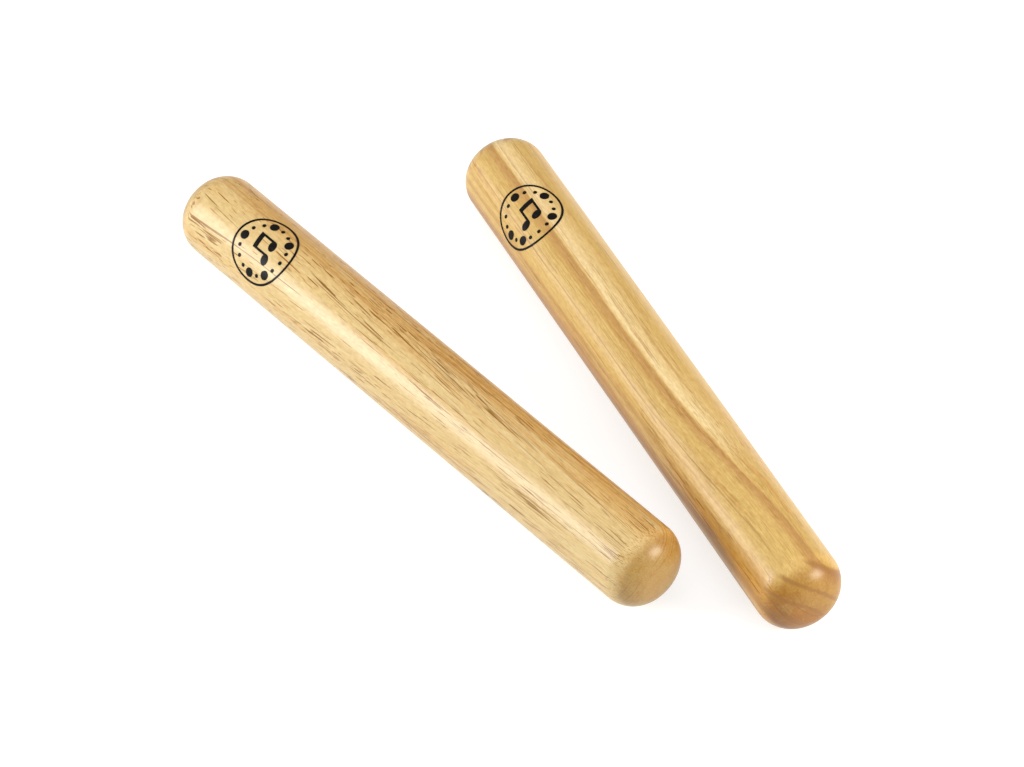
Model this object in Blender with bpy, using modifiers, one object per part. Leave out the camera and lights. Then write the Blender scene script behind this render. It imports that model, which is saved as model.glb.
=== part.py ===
"""A pair of claves: two solid hardwood percussion sticks, lying side by side on a table.

Each clave is one turned stick: a straight round barrel whose ends are rounded over by a
corner arc and closed by a shallow dome. The pair has no other pieces. The holding clave lies
along X. The striking clave lies beside it, turned a little, the way a pair is put down.

Lengths are in metres, angles in degrees. +Z is up, the table is at z = 0, and the origin is
under the middle of the pair's box.
"""

import math

import bpy
from mathutils import Vector

CLAVE_LENGTH = 0.200
CLAVE_DIAMETER = 0.025
CORNER_RADIUS = 0.009  # rounds the barrel over into the end
DOME_RADIUS = 0.030  # the shallow crown of each end

STRIKER_AHEAD = 0.037  # from one clave's middle to the other's, along X
STRIKER_ASIDE = 0.050  # the same, along Y
STRIKER_TURN = -15.0  # about Z

FACETS = 64  # round the barrel
CORNER_STEPS = 8
DOME_STEPS = 4  # the dome's own arc is short
MERGE_DISTANCE = 0.00001  # closes the turning's seam and its tips

WOOD_COLOUR = (0.72, 0.51, 0.27, 1.0)
WOOD_ROUGHNESS = 0.35

RADIUS = CLAVE_DIAMETER / 2
HALF_FACET = math.pi / FACETS
REST_HEIGHT = RADIUS * math.cos(HALF_FACET)  # of the axis, when a facet lies on the table


def clear_scene():
    for obj in list(bpy.data.objects):
        bpy.data.objects.remove(obj)


def pair_collection():
    collection = bpy.data.collections.new("claves")
    bpy.context.scene.collection.children.link(collection)
    return collection


def wood():
    material = bpy.data.materials.new("lacquered_wood")
    material.use_nodes = True
    shader = material.node_tree.nodes["Principled BSDF"]
    shader.inputs["Base Color"].default_value = WOOD_COLOUR
    shader.inputs["Roughness"].default_value = WOOD_ROUGHNESS
    shader.inputs["Metallic"].default_value = 0.0
    return material


def end_profile():
    """(radius, height) pairs from the tip of an end down to where the straight barrel starts."""
    dome_middle = CLAVE_LENGTH / 2 - DOME_RADIUS
    corner_off_axis = RADIUS - CORNER_RADIUS
    corner_rise = math.sqrt((DOME_RADIUS - CORNER_RADIUS) ** 2 - corner_off_axis**2)
    tangent = math.atan2(corner_off_axis, corner_rise)  # where the dome runs into the corner

    points = []
    for step in range(DOME_STEPS):
        angle = tangent * step / DOME_STEPS
        points.append((DOME_RADIUS * math.sin(angle), dome_middle + DOME_RADIUS * math.cos(angle)))
    for step in range(CORNER_STEPS + 1):
        angle = tangent + (math.pi / 2 - tangent) * step / CORNER_STEPS
        points.append(
            (
                corner_off_axis + CORNER_RADIUS * math.sin(angle),
                dome_middle + corner_rise + CORNER_RADIUS * math.cos(angle),
            )
        )
    return points


def clave_profile():
    """(radius, height) pairs down the whole clave, from its top tip to its bottom tip."""
    top = end_profile()
    bottom = [(radius, -height) for radius, height in reversed(top)]
    return top + bottom


def clave(name, collection, material, middle, turn):
    """One clave, turned about its own Z and laid down so that it points along +X, then turned."""
    points = [
        Vector((radius * math.cos(HALF_FACET), radius * math.sin(HALF_FACET), height))
        for radius, height in clave_profile()
    ]
    edges = [(i, i + 1) for i in range(len(points) - 1)]
    mesh = bpy.data.meshes.new(name)
    mesh.from_pydata(points, edges, [])
    mesh.materials.append(material)

    obj = bpy.data.objects.new(name, mesh)
    collection.objects.link(obj)
    screw = obj.modifiers.new("turning", "SCREW")
    screw.axis = "Z"
    screw.steps = FACETS
    screw.render_steps = FACETS
    screw.use_merge_vertices = True
    screw.merge_threshold = MERGE_DISTANCE
    screw.use_smooth_shade = True

    obj.location = middle
    obj.rotation_euler = (0.0, math.radians(90.0), math.radians(turn))
    return obj


def box_middle(objects):
    """The middle, in X and Y, of the box round these objects."""
    bpy.context.view_layer.update()
    graph = bpy.context.evaluated_depsgraph_get()
    corners = [
        obj.matrix_world @ vertex.co
        for obj in objects
        for vertex in obj.evaluated_get(graph).data.vertices
    ]
    low = Vector([min(corner[axis] for corner in corners) for axis in range(3)])
    high = Vector([max(corner[axis] for corner in corners) for axis in range(3)])
    return Vector(((low.x + high.x) / 2, (low.y + high.y) / 2, 0.0))


def main():
    clear_scene()
    collection = pair_collection()
    material = wood()

    claves = [
        clave("holding_clave", collection, material, Vector((0.0, 0.0, REST_HEIGHT)), 0.0),
        clave(
            "striking_clave",
            collection,
            material,
            Vector((STRIKER_AHEAD, STRIKER_ASIDE, REST_HEIGHT)),
            STRIKER_TURN,
        ),
    ]

    offset = box_middle(claves)
    for obj in claves:
        obj.location -= offset


if __name__ == "__main__":
    main()
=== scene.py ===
"""The looks of a pair of claves: two turned rubberwood sticks under a clear satin lacquer.

Each stick is a fine turned mesh that stands for its CAD solid. Its wood is a solid texture of growth
rings, streaks and vessels, which the turned surface cuts through. A small round print, the clave rhythm
as a ring of beads round two beamed notes, sits near each far end as a film of ink.

Lengths are in metres, except in the lens and in the wood textures, which count in millimetres.
"""

import math
from collections import namedtuple

import bmesh
import bpy
from mathutils import Matrix, Vector, noise
from mathutils.geometry import tessellate_polygon


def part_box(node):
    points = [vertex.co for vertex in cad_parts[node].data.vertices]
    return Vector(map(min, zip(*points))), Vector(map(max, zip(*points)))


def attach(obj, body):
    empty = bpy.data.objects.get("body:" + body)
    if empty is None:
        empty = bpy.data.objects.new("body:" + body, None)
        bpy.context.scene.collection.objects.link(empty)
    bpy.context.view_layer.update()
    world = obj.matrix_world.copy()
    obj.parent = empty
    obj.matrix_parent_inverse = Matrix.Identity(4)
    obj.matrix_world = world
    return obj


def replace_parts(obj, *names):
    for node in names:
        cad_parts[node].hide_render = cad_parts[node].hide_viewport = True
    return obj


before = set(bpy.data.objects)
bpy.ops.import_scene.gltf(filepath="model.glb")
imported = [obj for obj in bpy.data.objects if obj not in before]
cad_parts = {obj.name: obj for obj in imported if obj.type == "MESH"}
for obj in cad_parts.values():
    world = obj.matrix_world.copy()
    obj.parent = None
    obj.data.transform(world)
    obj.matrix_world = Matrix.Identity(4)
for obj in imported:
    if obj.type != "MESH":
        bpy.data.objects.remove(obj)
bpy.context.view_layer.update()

MM = 0.001

# ---------------------------------------------------------------- the camera and the studio

VIEW_AZIMUTH = 49.7
VIEW_ELEVATION = 44.0
VIEW_DISTANCE = 1.428
VIEW_TARGET = Vector((-0.0112, -0.0094, 0.0))  # on the table
LENS_MM = 177.8


def towards(azimuth, elevation):
    """The unit vector from the object to a place at this azimuth and elevation, in degrees."""
    a, e = math.radians(azimuth), math.radians(elevation)
    return Vector((math.sin(a) * math.cos(e), -math.cos(a) * math.cos(e), math.sin(e)))


def place_camera():
    data = bpy.data.cameras.new("camera")
    data.lens = LENS_MM
    camera = bpy.data.objects.new("camera", data)
    back = towards(VIEW_AZIMUTH, VIEW_ELEVATION)
    camera.location = VIEW_TARGET + back * VIEW_DISTANCE
    camera.rotation_euler = (-back).to_track_quat("-Z", "Y").to_euler()
    bpy.context.scene.collection.objects.link(camera)
    bpy.context.scene.camera = camera


WHITE = (1.0, 1.0, 1.0)
WARM_WHITE = (1.0, 0.90, 0.76)

WALL_STRENGTH = 0.12  # the room round the object is darker than what is over it
CEILING_STRENGTH = 0.62
CEILING_HEIGHT = 0.8  # the sine of the elevation from which the ceiling has its full strength


def softbox(name, azimuth, elevation, distance, size, power, colour=WHITE):
    data = bpy.data.lights.new(name, "AREA")
    data.shape = "RECTANGLE"
    data.size, data.size_y = size
    data.energy = power
    data.color = colour
    lamp = bpy.data.objects.new(name, data)
    out = towards(azimuth, elevation)
    lamp.location = out * distance
    lamp.rotation_euler = (-out).to_track_quat("-Z", "Y").to_euler()
    bpy.context.scene.collection.objects.link(lamp)


def light_room():
    """A plain white room, brighter overhead than at the sides."""
    world = bpy.data.worlds.new("studio")
    world.use_nodes = True
    nodes, links = world.node_tree.nodes, world.node_tree.links
    background = nodes["Background"]
    background.inputs["Color"].default_value = (*WHITE, 1.0)
    direction = nodes.new("ShaderNodeTexCoord")
    height = nodes.new("ShaderNodeSeparateXYZ")
    links.new(direction.outputs["Generated"], height.inputs[0])
    sky = nodes.new("ShaderNodeMapRange")
    links.new(height.outputs["Z"], sky.inputs["Value"])
    sky.inputs["From Min"].default_value = 0.0
    sky.inputs["From Max"].default_value = CEILING_HEIGHT
    sky.inputs["To Min"].default_value = WALL_STRENGTH
    sky.inputs["To Max"].default_value = CEILING_STRENGTH
    links.new(sky.outputs[0], background.inputs["Strength"])
    bpy.context.scene.world = world


def light_studio():
    light_room()
    softbox("softbox_left", VIEW_AZIMUTH - 84.0, 22.5, 1.1, size=(0.52, 0.50), power=11.5)
    softbox("softbox_low", VIEW_AZIMUTH - 107.0, 11.0, 1.1, size=(0.32, 0.20), power=1.4)
    softbox("softbox_right", VIEW_AZIMUTH + 68.0, 26.0, 1.3, size=(0.5, 0.5), power=19.0, colour=WARM_WHITE)
    softbox("softbox_top", VIEW_AZIMUTH, 85.0, 1.5, size=(1.6, 1.6), power=7.0)
    bpy.context.scene.view_settings.view_transform = "Standard"


FLOOR_SIDE = 6.0
PAPER_GREY = (0.4, 0.4, 0.4, 1.0)
PAPER_GLOW = 0.73  # the paper's own light keeps it pale and its shadows faint


def lay_floor():
    mesh = bpy.data.meshes.new("floor")
    half = FLOOR_SIDE / 2
    mesh.from_pydata(
        [(-half, -half, 0.0), (half, -half, 0.0), (half, half, 0.0), (-half, half, 0.0)],
        [],
        [(0, 1, 2, 3)],
    )
    floor = bpy.data.objects.new("floor", mesh)
    bpy.context.scene.collection.objects.link(floor)
    paper = bpy.data.materials.new("white_paper")
    paper.use_nodes = True
    shader = paper.node_tree.nodes["Principled BSDF"]
    shader.inputs["Base Color"].default_value = PAPER_GREY
    shader.inputs["Roughness"].default_value = 0.9
    shader.inputs["Specular IOR Level"].default_value = 0.0
    shader.inputs["Emission Color"].default_value = (*WHITE, 1.0)
    shader.inputs["Emission Strength"].default_value = PAPER_GLOW
    mesh.materials.append(paper)


# ---------------------------------------------------------------- node trees


class Graph:
    """A material's node tree. Most methods add a node and return its output socket."""

    def __init__(self, name):
        self.material = bpy.data.materials.new(name)
        self.material.use_nodes = True
        self.nodes = self.material.node_tree.nodes
        self.shader = self.nodes["Principled BSDF"]

    def feed(self, socket, value):
        """Links a socket to this input, or sets the input to a plain value."""
        if isinstance(value, bpy.types.NodeSocket):
            self.material.node_tree.links.new(value, socket)
        else:
            socket.default_value = value

    def place(self):
        """The point on the surface, from the stick's own middle, in millimetres."""
        coordinates = self.nodes.new("ShaderNodeTexCoord")
        return self.vector("SCALE", coordinates.outputs["Object"], scale=1 / MM)

    def math(self, operation, a, b=0.0, c=0.0):
        node = self.nodes.new("ShaderNodeMath")
        node.operation = operation
        for socket, value in zip(node.inputs, (a, b, c)):
            self.feed(socket, value)
        return node.outputs[0]

    def vector(self, operation, a, b=None, scale=None):
        node = self.nodes.new("ShaderNodeVectorMath")
        node.operation = operation
        self.feed(node.inputs[0], a)
        if b is not None:
            self.feed(node.inputs[1], b)
        if scale is not None:
            self.feed(node.inputs["Scale"], scale)
        return node.outputs["Value" if operation == "DOT_PRODUCT" else "Vector"]

    def split(self, vector):
        node = self.nodes.new("ShaderNodeSeparateXYZ")
        self.feed(node.inputs[0], vector)
        return node.outputs

    def join(self, x, y, z):
        node = self.nodes.new("ShaderNodeCombineXYZ")
        for socket, value in zip(node.inputs, (x, y, z)):
            self.feed(socket, value)
        return node.outputs[0]

    def noise(self, vector, detail=2.0, roughness=0.5):
        """Noise with one cell to a unit of the vector, from 0 to 1 and mostly near a half."""
        node = self.nodes.new("ShaderNodeTexNoise")
        self.feed(node.inputs["Vector"], vector)
        self.feed(node.inputs["Scale"], 1.0)
        self.feed(node.inputs["Detail"], detail)
        self.feed(node.inputs["Roughness"], roughness)
        return node.outputs["Fac"]

    def rise(self, value, low, high, floor=0.0, top=1.0):
        """A smooth step from floor, where value is low, to top, where it is high."""
        node = self.nodes.new("ShaderNodeMapRange")
        node.interpolation_type = "SMOOTHSTEP"
        for socket, given in zip(node.inputs, (value, low, high, floor, top)):
            self.feed(socket, given)
        return node.outputs[0]

    def mix(self, share, a, b, blend="MIX"):
        node = self.nodes.new("ShaderNodeMix")
        node.data_type = "RGBA"
        node.blend_type = blend
        self.feed(node.inputs["Factor"], share)
        self.feed(node.inputs[6], a)
        self.feed(node.inputs[7], b)
        return node.outputs[2]

    def bump(self, height, distance):
        node = self.nodes.new("ShaderNodeBump")
        self.feed(node.inputs["Height"], height)
        self.feed(node.inputs["Distance"], distance)
        return node.outputs[0]

    def set(self, **values):
        """Sets the shader's inputs, such as Base_Color for Base Color."""
        for name, value in values.items():
            self.feed(self.shader.inputs[name.replace("_", " ")], value)


# ---------------------------------------------------------------- the wood

# A band of growth rings. Across the rings, in millimetres, its colour grows from start to peak and
# fades from peak to end. Along the stick it has faded out at until.
Band = namedtuple("Band", "start peak end colour strength until", defaults=[200.0])
BAND_FADE = 35.0  # millimetres along the stick, up to until

# How one stick was cut and what its wood is like. Lengths are in millimetres, and angles are round
# the stick, from its top towards the holding side.
#   ring_angle, curl: the direction across the growth rings, and how much they curve
#   drift, drift_span: how far the rings wander between the two places in drift_span, first for the
#       innermost rings and then for the outermost
#   fan: how much finer the pattern gets, sideways, for each millimetre along the stick
#   pale, plain, brown: the wood's tones; brown is also the colour of the browner side
#   brown_angle, brown_growth, browning: where the browner side is, how it
#       widens along the stick, and how far out it starts and is full. That side is partly the wood's own
#       brown and partly painted shade, where less light falls on the stick
#   bands: the bands of rings that have a colour of their own
#   lines: the strength of the dark ring lines
#   dashes: the strength of the vessels, in plain wood and on the browner side, which is partly painted
#       shade
#   ends: the colour that the end grain is multiplied by
#   arcs: the strength of the rings on the end grain
#   seed: moves the noise, so that each stick has a pattern of its own
Look = namedtuple(
    "Look",
    "ring_angle curl drift drift_span fan pale plain brown brown_angle brown_growth browning bands"
    " lines dashes ends arcs seed",
)

LINE = (0.29, 0.12, 0.013, 1.0)  # the colours of ring lines, of vessels and of rings on the ends
PORE = (0.185, 0.074, 0.002, 1.0)
ARC = (0.235, 0.115, 0.030, 1.0)

LACQUER_IOR = 1.45
WOOD_RELIEF = 0.02 * MM
INK_RELIEF = 0.01 * MM

RING_SPAN = (-6.0, 8.0)  # millimetres from the axis, to the innermost rings and to the outermost

# The slow waves that push the rings to and fro: where each is in the noise, and its size.
RING_WAVES = (((0.012, 0.05, 0.05, 0.0), 2.0), ((0.045, 0.3, 0.3, 5.0), 0.6))

# One kind of vessel mark: where it is in the noise, the levels at which it starts to show and is
# full, and its strength.
Vessel = namedtuple("Vessel", "grain low high strength")
VESSELS = (
    Vessel((0.06, 1.6, 2.0, 31.0), 0.68, 0.71, 1.0),  # bold dashes
    Vessel((0.12, 2.8, 3.4, 41.0), 0.68, 0.72, 0.8),  # fine dashes
    Vessel((0.018, 2.3, 2.7, 51.0), 0.65, 0.69, 0.85),  # long lines
)

# The end grain. Each pair is the distances from the tip at which something starts and is full.
END_DARKENING = (6.8, 3.0)
ARC_REACH = (8.0, 5.0)
ARC_SPACING = 5.45
ARC_PHASE = 1.4
ARC_CURL = 0.018
VESSEL_RISE = (3.5, 9.5)  # the vessels are faint at the tip and stronger from there on
VESSELS_AT_TIP = 0.3  # their strength there

HOLDING_LOOK = Look(
    ring_angle=41.0,
    curl=0.009,
    drift=(3.0, 3.0),
    drift_span=(-110.0, 160.0),
    fan=0.008,
    pale=(0.517, 0.409, 0.216, 1.0),
    plain=(0.50, 0.374, 0.175, 1.0),
    brown=(0.476, 0.296, 0.101, 1.0),
    # the browner side faces away from the main light: partly the wood's own brown, partly painted shade
    brown_angle=-49.0,
    brown_growth=0.0,
    browning=(4.4, 12.2),
    bands=[],
    lines=0.75,
    dashes=(0.95, 0.95),
    ends=(0.66, 0.57, 0.39, 1.0),
    arcs=0.15,
    seed=3.0,
)
STRIKING_LOOK = Look(
    ring_angle=-42.4,
    curl=-0.011,
    drift=(1.6, 5.6),
    drift_span=(5.0, 93.0),
    fan=0.0,
    pale=(0.521, 0.371, 0.148, 1.0),
    plain=(0.49, 0.338, 0.115, 1.0),
    brown=(0.425, 0.225, 0.046, 1.0),
    # the browner side is where the holding stick shades this one: partly the wood's own brown, partly
    # painted shade, which widens towards the near end, where the sticks lie closer
    brown_angle=137.6,
    brown_growth=0.05,
    browning=(1.5, 9.0),
    bands=[
        Band(1.4, 4.9, 5.4, (0.36, 0.195, 0.066, 1.0), 0.85),
        Band(5.1, 6.2, 11.5, (0.64, 0.52, 0.30, 1.0), 0.8, 65.0),
        Band(-2.5, -2.2, -1.9, (0.285, 0.14, 0.04, 1.0), 0.7, 88.0),
        Band(-7.6, -6.7, -5.9, (0.316, 0.174, 0.048, 1.0), 0.45),
        # painted shade: a dark band along the flank that the holding stick shades
        Band(-12.0, -10.5, -8.8, (0.27, 0.11, 0.0, 1.0), 0.75),
    ],
    lines=0.45,
    dashes=(0.35, 1.0),
    ends=(0.66, 0.55, 0.38, 1.0),
    arcs=0.7,
    seed=11.0,
)


class Wood(Graph):
    """Solid wood. Its own directions are along the grain, across the rings and beside them."""

    def __init__(self, name, look, stick):
        super().__init__(name)
        self.look = look
        self.spot = self.place()
        self.along = self.split(self.spot)[0]
        self.from_tip = self.math("SUBTRACT", stick.length / 2 / MM, self.math("ABSOLUTE", self.along))

        self.upright = self.reach(look.ring_angle)
        drift = self.rise(self.along, *look.drift_span)
        drift = self.math("MULTIPLY", drift, self.rise(self.upright, *RING_SPAN, *look.drift))
        self.across = self.math("SUBTRACT", self.upright, drift)
        spread = self.math("MULTIPLY_ADD", self.along, look.fan, 1.0)
        self.beside = self.math("MULTIPLY", self.reach(look.ring_angle + 90.0), spread)
        self.square = self.math("MULTIPLY", self.beside, self.beside)
        self.ring = self.waved_ring()

        # the browner side: partly the wood's own brown, partly painted shade where less light falls
        brown_and_shade_reach = self.reach(look.brown_angle)
        self.brown_and_shade_side = self.math("MULTIPLY_ADD", self.along, look.brown_growth, brown_and_shade_reach)
        self.brown_and_shade = self.rise(self.brown_and_shade_side, *look.browning)

    def reach(self, angle):
        """How far the place is from the stick's axis, in this direction round the stick."""
        turn = math.radians(angle)
        return self.vector("DOT_PRODUCT", self.spot, (0.0, -math.sin(turn), math.cos(turn)))

    def grain(self, along_scale, across_scale, beside_scale, shift):
        """Texture coordinates in the wood's own directions, each in cells to the millimetre."""
        x = self.math("MULTIPLY_ADD", self.along, along_scale, self.look.seed + shift)
        y = self.math("MULTIPLY_ADD", self.across, across_scale, self.look.seed * 2.0)
        z = self.math("MULTIPLY_ADD", self.beside, beside_scale, shift)
        return self.join(x, y, z)

    def ring_grain(self, along_scale, ring_scale, shift):
        """Texture coordinates along the grain and across the rings, the same all round a ring."""
        x = self.math("MULTIPLY", self.along, along_scale)
        y = self.math("MULTIPLY", self.ring, ring_scale)
        return self.join(x, y, self.look.seed + shift)

    def waved_ring(self):
        """Which growth ring the place is in, as millimetres across the rings."""
        ring = self.math("MULTIPLY_ADD", self.square, self.look.curl, self.across)
        for wave, size in RING_WAVES:
            ring = self.math("MULTIPLY_ADD", self.noise(self.grain(*wave), detail=1.0), size, ring)
            ring = self.math("SUBTRACT", ring, size / 2)
        return ring

    def tone(self):
        """The wood's ground colour: browner on one side of the stick, which is partly its own brown and
        partly painted shade where less light falls, with soft patches.
        """
        colour = self.mix(self.brown_and_shade, self.look.plain, self.look.brown)
        patch = self.noise(self.grain(0.015, 0.3, 0.3, 9.0), detail=2.0)
        colour = self.mix(self.rise(patch, 0.5, 0.68, 0.0, 0.65), colour, self.look.pale)
        broad = self.noise(self.grain(0.008, 0.55, 0.35, 3.0), detail=2.0)
        return self.mix(self.rise(broad, 0.52, 0.7, 0.0, 0.5), colour, self.look.brown)

    def with_bands(self, colour):
        for band in self.look.bands:
            grow = self.rise(self.ring, band.start, band.peak, 0.0, band.strength)
            fade = self.rise(self.ring, band.end, band.peak)
            here = self.rise(self.along, band.until, band.until - BAND_FADE)
            share = self.math("MULTIPLY", self.math("MULTIPLY", grow, fade), here)
            colour = self.mix(share, colour, band.colour)
        return colour

    def with_ring_lines(self, colour):
        """Adds thin dark lines, which come and go, except where the surface runs along the rings."""
        level = self.noise(self.ring_grain(0.006, 0.9, 7.0), detail=1.0)
        off_line = self.math("ABSOLUTE", self.math("SUBTRACT", level, 0.5))
        present = self.noise(self.ring_grain(0.02, 0.8, 21.0), detail=1.0)
        strength = self.rise(present, 0.42, 0.66, 0.0, self.look.lines)
        crossing = self.rise(self.math("ABSOLUTE", self.beside), 3.0, 8.0)
        strength = self.math("MULTIPLY", strength, crossing)
        lines = self.math("MULTIPLY", self.rise(off_line, 0.04, 0.005), strength)
        return self.mix(lines, colour, LINE)

    def with_streaks(self, colour):
        """Adds fine long streaks, close together, on the browner side, which is partly painted shade."""
        streak = self.noise(self.ring_grain(0.008, 2.2, 33.0), detail=2.0)
        streak = self.rise(streak, 0.54, 0.60, 0.0, 0.55)
        return self.mix(self.math("MULTIPLY", streak, self.brown_and_shade), colour, LINE)

    def vessels(self):
        """Where the surface cuts vessels open: in loose clusters, and only faintly on the ends."""
        cluster = self.noise(self.grain(0.03, 0.28, 0.28, 15.0), detail=1.0)
        shift = self.math("MULTIPLY_ADD", cluster, 0.3, -0.15)
        marks = 0.0
        for kind in VESSELS:
            level = self.math("ADD", self.noise(self.grain(*kind.grain), detail=1.0), shift)
            layer = self.rise(level, kind.low, kind.high, 0.0, kind.strength)
            marks = self.math("MAXIMUM", marks, layer)
        return self.math("MULTIPLY", marks, self.rise(self.from_tip, *VESSEL_RISE, VESSELS_AT_TIP))

    def with_vessels(self, colour, vessels):
        strength = self.rise(self.brown_and_shade_side, *self.look.browning, *self.look.dashes)
        return self.mix(self.math("MULTIPLY", vessels, strength), colour, PORE)

    def with_fibre(self, colour, mottle):
        """Shades the colour with fine mottle and fibre, most of all in its blue."""
        fibre = self.noise(self.grain(0.12, 5.0, 5.0, 71.0), detail=2.0)
        shade = self.math("MULTIPLY_ADD", fibre, 0.5, self.math("SUBTRACT", mottle, 0.75))
        tint = [self.math("MULTIPLY_ADD", shade, depth, 1.0) for depth in (0.6, 0.85, 1.2)]
        return self.mix(1.0, colour, self.join(*tint), "MULTIPLY")

    def with_end_grain(self, colour):
        """Darkens the ends, which drink more lacquer, and draws the rings on them as arcs."""
        dark = self.mix(1.0, colour, self.look.ends, "MULTIPLY")
        colour = self.mix(self.rise(self.from_tip, *END_DARKENING), colour, dark)
        arc = self.math("MULTIPLY_ADD", self.square, ARC_CURL, self.upright)
        arc = self.math("ADD", arc, self.noise(self.grain(0.1, 0.3, 0.3, 91.0), detail=1.0))
        wave = self.math("SINE", self.math("MULTIPLY_ADD", arc, 2 * math.pi / ARC_SPACING, ARC_PHASE))
        arcs = self.rise(wave, 0.65, 1.0, 0.0, self.look.arcs)
        arcs = self.math("MULTIPLY", arcs, self.rise(self.from_tip, *ARC_REACH))
        return self.mix(arcs, colour, ARC)

    def finish(self, mottle, vessels):
        """Sets the bare wood's sheen and the satin lacquer on it, which fills the vessels in part."""
        height = self.math("MULTIPLY_ADD", vessels, -0.5, mottle)
        lumps = self.noise(self.grain(0.4, 0.9, 0.9, 81.0), detail=2.0)
        coat_height = self.math("MULTIPLY_ADD", height, 0.5, lumps)
        self.set(
            Roughness=self.rise(mottle, 0.3, 0.7, 0.36, 0.48),
            Normal=self.bump(height, WOOD_RELIEF),
            Specular_IOR_Level=0.1,
            Coat_Weight=0.6,
            Coat_Roughness=0.32,
            Coat_IOR=LACQUER_IOR,
            Coat_Tint=(1.0, 0.94, 0.84, 1.0),
            Coat_Normal=self.bump(coat_height, WOOD_RELIEF),
        )


def lacquered_wood(name, look, stick):
    wood = Wood(name, look, stick)
    mottle = wood.noise(wood.grain(0.45, 1.8, 1.8, 61.0), detail=4.0, roughness=0.65)
    vessels = wood.vessels()
    colour = wood.with_bands(wood.tone())
    colour = wood.with_ring_lines(colour)
    colour = wood.with_streaks(colour)
    colour = wood.with_vessels(colour, vessels)
    colour = wood.with_fibre(colour, mottle)
    colour = wood.with_end_grain(colour)
    wood.set(Base_Color=colour)
    wood.finish(mottle, vessels)
    return wood.material


INK = (0.003, 0.0026, 0.0024, 1.0)
WORN_INK = (0.010, 0.008, 0.007, 1.0)


def ink():
    """Black ink under the lacquer, worn a little thin along the grain."""
    graph = Graph("black_ink")
    place = graph.place()
    grain = graph.noise(graph.vector("MULTIPLY", place, (0.5, 4.0, 4.0)), detail=3.0)
    graph.set(
        Base_Color=graph.mix(graph.rise(grain, 0.4, 0.75), INK, WORN_INK),
        Roughness=graph.rise(grain, 0.3, 0.7, 0.4, 0.52),
        Normal=graph.bump(grain, INK_RELIEF),
        Specular_IOR_Level=0.04,
        Coat_Weight=0.1,
        Coat_Roughness=0.3,
        Coat_IOR=LACQUER_IOR,
    )
    return graph.material


# ---------------------------------------------------------------- the sticks

CORNER_RADIUS = 0.009  # the CAD solids' end arcs
DOME_RADIUS = 0.030
SIDES = 160
CORNER_STEPS = 20
DOME_STEPS = 12
BARREL_STEPS = 90
HAND_SANDING = 0.00004  # on average, how far under a true turning the surface lies
SWELL_LENGTH = 0.03  # along the stick, of the sanded surface's slow swells
SWELLS_ROUND = 0.8  # the circle round the stick, in cells of noise

Stick = namedtuple("Stick", "middle axis length radius")


def measure(node):
    """A CAD stick's middle, direction, length and radius, from its own mesh."""
    low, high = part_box(node)
    middle = (low + high) / 2
    points = [vertex.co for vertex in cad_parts[node].data.vertices]
    ahead = [point for point in points if point.x > middle.x]
    tip = max(ahead, key=lambda point: (point - middle).length)
    axis = (tip - middle).normalized()
    return Stick(middle, axis, 2 * (tip - middle).length, (high.z - low.z) / 2)


def end_profile(stick):
    """(distance along the stick, radius) from where the barrel ends out to the tip."""
    dome_middle = stick.length / 2 - DOME_RADIUS
    off_axis = stick.radius - CORNER_RADIUS
    rise = math.sqrt((DOME_RADIUS - CORNER_RADIUS) ** 2 - off_axis**2)
    tangent = math.atan2(off_axis, rise)
    points = []
    for step in range(CORNER_STEPS):
        angle = math.pi / 2 - (math.pi / 2 - tangent) * step / CORNER_STEPS
        along = dome_middle + rise + CORNER_RADIUS * math.cos(angle)
        points.append((along, off_axis + CORNER_RADIUS * math.sin(angle)))
    for step in range(DOME_STEPS + 1):
        angle = tangent * (1 - step / DOME_STEPS)
        points.append((dome_middle + DOME_RADIUS * math.cos(angle), DOME_RADIUS * math.sin(angle)))
    return points


def whole_profile(stick):
    """(distance along the stick, radius) from the far tip to the near tip."""
    near = end_profile(stick)
    far = [(-along, radius) for along, radius in reversed(near)]
    half = near[0][0]
    barrel = [(half * (2 * step / BARREL_STEPS - 1), stick.radius) for step in range(1, BARREL_STEPS)]
    return far + barrel + near


def sanding(along, angle, seed):
    """How far under a true turning the barrel's surface lies here."""
    y = math.cos(angle) * SWELLS_ROUND + seed
    z = math.sin(angle) * SWELLS_ROUND
    return (1.0 - noise.noise(Vector((along / SWELL_LENGTH, y, z)))) * HAND_SANDING


def turned_mesh(name, stick, seed):
    """The stick's profile turned about +X, with a ring of points for each step along it."""
    bm = bmesh.new()
    profile = whole_profile(stick)
    tips = [bm.verts.new((profile[0][0], 0.0, 0.0))]
    rings = []
    for along, radius in profile[1:-1]:
        ring = []
        for side in range(SIDES):
            angle = 2 * math.pi * side / SIDES
            out = radius - sanding(along, angle, seed) * radius / stick.radius
            ring.append(bm.verts.new((along, -out * math.sin(angle), out * math.cos(angle))))
        rings.append(ring)
    tips.append(bm.verts.new((profile[-1][0], 0.0, 0.0)))
    for i in range(SIDES):
        j = (i + 1) % SIDES
        bm.faces.new((tips[0], rings[0][i], rings[0][j]))
        bm.faces.new((tips[1], rings[-1][j], rings[-1][i]))
        for here, there in zip(rings, rings[1:]):
            bm.faces.new((here[i], there[i], there[j], here[j]))
    bmesh.ops.recalc_face_normals(bm, faces=bm.faces)
    for face in bm.faces:
        face.smooth = True
    mesh = bpy.data.meshes.new(name)
    bm.to_mesh(mesh)
    bm.free()
    return mesh


def pose_of(stick):
    """The matrix that puts a mesh made along +X, with +Z up, where the stick lies."""
    side = Vector((0.0, 0.0, 1.0)).cross(stick.axis)
    turn = Matrix((stick.axis, side, (0.0, 0.0, 1.0))).transposed()
    return Matrix.Translation(stick.middle) @ turn.to_4x4()


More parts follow.
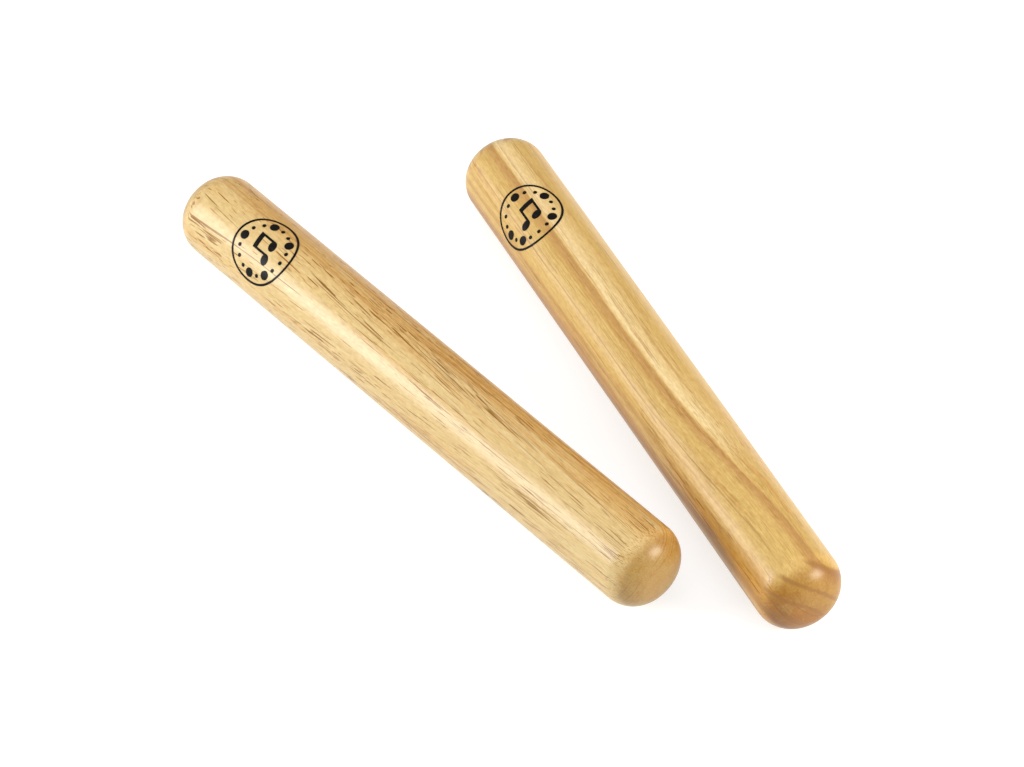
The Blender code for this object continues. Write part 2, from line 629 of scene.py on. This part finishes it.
def show(mesh, material, stick, body):
    """Adds a piece to the scene where the stick lies, riding on a body."""
    mesh.materials.append(material)
    piece = bpy.data.objects.new(mesh.name, mesh)
    bpy.context.scene.collection.objects.link(piece)
    piece.matrix_world = pose_of(stick)
    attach(piece, body)
    return piece


# ---------------------------------------------------------------- the print

PRINT_ALONG = 0.0635  # from the stick's middle, towards its far end
PRINT_TURN = 32.0  # round the stick, from its top towards the holding side
INK_PROUD = 0.00003
INK_SUNK = 0.00003
SLICE = 0.0005  # the flat print is cut this fine before it wraps round the barrel
WELD = 1e-7

BEADS = 16
STRUCK = (0, 3, 6, 10, 12)  # the five strokes of the clave rhythm
BEAD_CIRCLE = 0.0080
STRUCK_RADIUS = 0.0014
REST_RADIUS = 0.0006
RIM_INSIDE = 0.0102
RIM_OUTSIDE = 0.0109

LEFT_HEAD = (-0.0021, -0.0029)  # of the two beamed notes
RIGHT_HEAD = (0.0023, -0.0021)
HEAD_LONG = 0.0017
HEAD_SHORT = 0.00125
HEAD_TILT = math.radians(24.0)
STEM_WIDTH = 0.0007
STEM_HEIGHT = 0.0062  # from a head's middle to the top of the beam
BEAM = 0.0016

ROUND = 48  # the steps in a full circle


def circle(centre, radius):
    """The points of a circle, anticlockwise."""
    points = []
    for step in range(ROUND):
        angle = 2 * math.pi * step / ROUND
        x, y = radius * math.cos(angle), radius * math.sin(angle)
        points.append(Vector((centre[0] + x, centre[1] + y, 0.0)))
    return points


def note_head(centre):
    """A tilted oval, anticlockwise from where its stem's left edge leaves it to its rightmost point."""
    cosine, sine = math.cos(HEAD_TILT), math.sin(HEAD_TILT)
    reach = math.hypot(HEAD_LONG * cosine, HEAD_SHORT * sine)
    rightmost = math.atan2(-HEAD_SHORT * sine, HEAD_LONG * cosine)
    stem = math.acos(1 - STEM_WIDTH / reach)
    points = []
    for step in range(ROUND + 1):
        angle = rightmost + stem + (2 * math.pi - stem) * step / ROUND
        x, y = HEAD_LONG * math.cos(angle), HEAD_SHORT * math.sin(angle)
        points.append(Vector((centre[0] + x * cosine - y * sine, centre[1] + x * sine + y * cosine, 0.0)))
    return points


def beamed_notes():
    """Two notes under one slanting beam, as a single anticlockwise outline."""
    left, right = note_head(LEFT_HEAD), note_head(RIGHT_HEAD)
    slant = (RIGHT_HEAD[1] - LEFT_HEAD[1]) / (RIGHT_HEAD[0] - LEFT_HEAD[0])

    def beam_top(x):
        return LEFT_HEAD[1] + STEM_HEIGHT + slant * (x - left[0].x)

    def corner(x, drop=0.0):
        return Vector((x, beam_top(x) - drop, 0.0))

    under = [corner(left[-1].x, BEAM), corner(right[0].x, BEAM)]
    return [corner(left[0].x)] + left + under + right + [corner(right[-1].x)]


def flat_print():
    """The print's outlines: a list of [outer loop, holes...]."""
    middle = (0.0, 0.0)
    shapes = [[circle(middle, RIM_OUTSIDE), circle(middle, RIM_INSIDE)[::-1]], [beamed_notes()]]
    for bead in range(BEADS):
        angle = math.pi / 2 - 2 * math.pi * bead / BEADS
        centre = (BEAD_CIRCLE * math.cos(angle), BEAD_CIRCLE * math.sin(angle))
        shapes.append([circle(centre, STRUCK_RADIUS if bead in STRUCK else REST_RADIUS)])
    return shapes


def print_mesh(name, stick):
    """The flat print, cut into narrow strips, made into a film and wrapped round the barrel."""
    bm = bmesh.new()
    for loops in flat_print():
        points = [point for loop in loops for point in loop]
        verts = [bm.verts.new(point) for point in points]
        for triangle in tessellate_polygon(loops):
            bm.faces.new([verts[i] for i in triangle])
    cuts = int(RIM_OUTSIDE / SLICE)
    for cut in range(-cuts, cuts + 1):
        geom = bm.verts[:] + bm.edges[:] + bm.faces[:]
        bmesh.ops.bisect_plane(bm, geom=geom, dist=WELD, plane_co=(cut * SLICE, 0, 0), plane_no=(1, 0, 0))
    bmesh.ops.recalc_face_normals(bm, faces=bm.faces)
    for face in bm.faces:
        if face.normal.z < 0:
            face.normal_flip()
    bmesh.ops.solidify(bm, geom=bm.faces[:], thickness=INK_PROUD + INK_SUNK)
    low = min(vert.co.z for vert in bm.verts)
    for vert in bm.verts:
        u, v, up = vert.co
        out = stick.radius - INK_SUNK + (up - low)
        angle = math.radians(PRINT_TURN) - u / stick.radius
        vert.co = (-PRINT_ALONG - v, -out * math.sin(angle), out * math.cos(angle))
    bmesh.ops.recalc_face_normals(bm, faces=bm.faces)
    mesh = bpy.data.meshes.new(name)
    bm.to_mesh(mesh)
    bm.free()
    return mesh


# ---------------------------------------------------------------- the pair


def make_clave(node, look, black_ink):
    """One clave: the wood, which stands for its CAD solid, and the print on it."""
    stick = measure(node)
    turned = turned_mesh(node + "_wood", stick, look.seed)
    material = lacquered_wood(node + "_wood", look, stick)
    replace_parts(show(turned, material, stick, node), node)
    show(print_mesh(node + "_print", stick), black_ink, stick, node)


place_camera()
light_studio()
lay_floor()
black_ink = ink()
make_clave("holding_clave", HOLDING_LOOK, black_ink)
make_clave("striking_clave", STRIKING_LOOK, black_ink)
